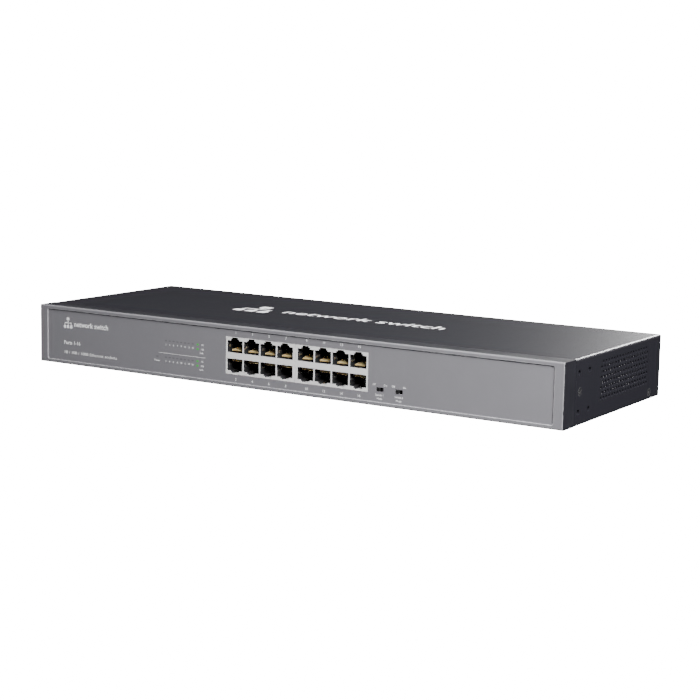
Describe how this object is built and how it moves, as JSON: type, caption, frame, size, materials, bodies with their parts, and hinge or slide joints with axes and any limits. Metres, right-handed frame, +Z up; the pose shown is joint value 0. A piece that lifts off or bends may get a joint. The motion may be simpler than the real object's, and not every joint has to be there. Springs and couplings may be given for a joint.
{
  "type": "network switch",
  "caption": "Low, wide network switch: black steel case, grey front with shielded sockets and small slide switches, side vents and a rear mains inlet.",
  "frame": {"origin": "middle of the whole box in plan, on the surface that the case stands on", "axes": "+X along the front to the right as seen from the front, +Y from the front to the rear, +Z up"},
  "size_m": [0.44, 0.1618, 0.044],
  "materials": {
    "case_black": "fine-textured satin black powder coat on folded steel",
    "bezel_black": "moulded black plastic with a fine spark-eroded grain",
    "panel_grey": "satin metallic grey paint",
    "label_grey": "satin printed film",
    "tin_plate": "bright tinned steel sheet",
    "moulded_black": "glass-filled moulded plastic",
    "switch_black": "smooth moulded plastic",
    "gold_plate": "gold-plated spring wire",
    "screw_black": "black zinc",
    "zinc_steel": "bright zinc plate",
    "circuit_green": "green solder mask",
    "circuit_tan": "bare paper-phenolic laminate",
    "chip_black": "moulded epoxy",
    "sink_aluminium": "extruded, natural",
    "can_sleeve": "shrink sleeve on an aluminium can",
    "connector_white": "natural nylon",
    "insulation_film": "translucent polyester film",
    "ferrite_grey": "ground ferrite",
    "tape_yellow": "polyester winding tape",
    "copper_enamel": "enamelled copper wire",
    "tinned_pins": "tinned brass",
    "clear_glass": "clear tube",
    "led_clear": "clear resin",
    "lead_brown": "PVC insulation",
    "lead_green": "PVC insulation, green with a yellow stripe",
    "lead_red": "PVC insulation",
    "sleeve_blue": "PVC terminal cover"
  },
  "bodies": {
    "root": {"board_capacitors": "can_sleeve", "board_power_header": "connector_white", "board_screws": "zinc_steel", "board_standoffs": "zinc_steel", "bridge_rectifier": "chip_black", "bulk_capacitor": "can_sleeve", "chassis_base": "case_black", "choke_core": "ferrite_grey", "choke_windings": "copper_enamel", "clock_crystals": "zinc_steel", "cover_screws": "screw_black", "dc_harness": "lead_red", "earth_lead": "lead_green", "earth_lug": "tinned_pins", "earth_nut": "zinc_steel", "earth_screw": "zinc_steel", "front_bezel": "bezel_black", "front_panel": "panel_grey", "fuse_caps": "zinc_steel", "fuse_glass": "clear_glass", "harness_plugs": "connector_white", "inlet_blades": "tinned_pins", "inlet_screws": "zinc_steel", "inlet_sleeves": "sleeve_blue", "insulation_sheet": "insulation_film", "led_baffle": "moulded_black", "led_board": "circuit_green", "led_board_pins": "gold_plate", "left_slide_switch": "switch_black", "line_capacitor": "tape_yellow", "main_board": "circuit_green", "mains_leads": "lead_brown", "memory_chip": "chip_black", "output_capacitors": "can_sleeve", "panel_label": "label_grey", "phy_chips": "chip_black", "phy_heat_sinks": "sink_aluminium", "port_contacts_left": "gold_plate", "port_contacts_right": "gold_plate", "port_housing_left": "moulded_black", "port_housing_right": "moulded_black", "port_magnetics": "chip_black", "port_shield_left": "tin_plate", "port_shield_right": "tin_plate", "power_inductors": "chip_black", "power_inlet": "moulded_black", "power_transistors": "chip_black", "right_slide_switch": "switch_black", "status_leds": "led_clear", "supply_board": "circuit_tan", "supply_headers": "connector_white", "supply_heat_sinks": "sink_aluminium", "switch_chip": "chip_black", "switch_heat_sink": "sink_aluminium", "top_cover": "case_black", "transformer_core": "ferrite_grey", "transformer_pins": "tinned_pins", "transformer_winding": "tape_yellow"},
    "left_switch_knob": {"left_switch_knob": "switch_black"},
    "right_switch_knob": {"right_switch_knob": "switch_black"}
  },
  "joints": [
    {"name": "left_switch_slide", "type": "slide", "parent": "root", "child": "left_switch_knob", "axis": [1, 0, 0], "range_m": [0, 0.002]},
    {"name": "right_switch_slide", "type": "slide", "parent": "root", "child": "right_switch_knob", "axis": [1, 0, 0], "range_m": [0, 0.002]}
  ]
}
